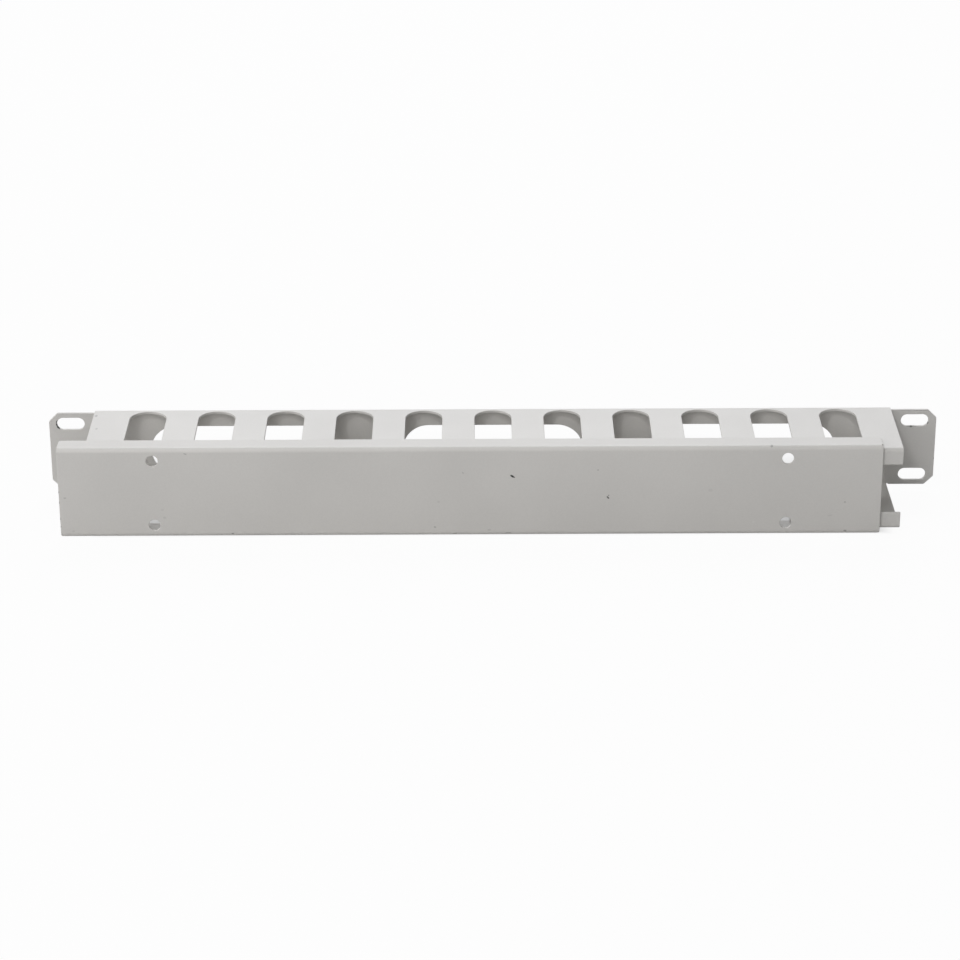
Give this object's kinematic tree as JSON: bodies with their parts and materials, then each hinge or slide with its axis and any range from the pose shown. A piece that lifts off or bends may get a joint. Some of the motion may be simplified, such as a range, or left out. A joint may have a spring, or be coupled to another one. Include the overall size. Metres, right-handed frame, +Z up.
{
  "type": "horizontal cable manager",
  "caption": "Slotted sheet-steel cable channel with rack ears and a C-section cover that hooks over its fingers and slides along them.",
  "frame": {"origin": "centre of the ears' rear face, the plane that lies on the rack posts, midway between the four rack slots", "axes": "+X along the rack opening from the left ear to the right ear as seen from the front, -Y out of the rack towards the user (+Y into the rack), +Z up"},
  "size_m": [0.4826, 0.06, 0.0508],
  "materials": {
    "powder_coat": "light grey powder coat, satin, fine orange peel"
  },
  "bodies": {
    "channel": {"channel_body": "powder_coat"},
    "cover": {"front_cover": "powder_coat"}
  },
  "joints": [
    {"name": "cover_slide", "type": "slide", "parent": "channel", "child": "cover", "axis": [1, 0, 0], "range_m": [-0.3998, 0.4246]}
  ]
}
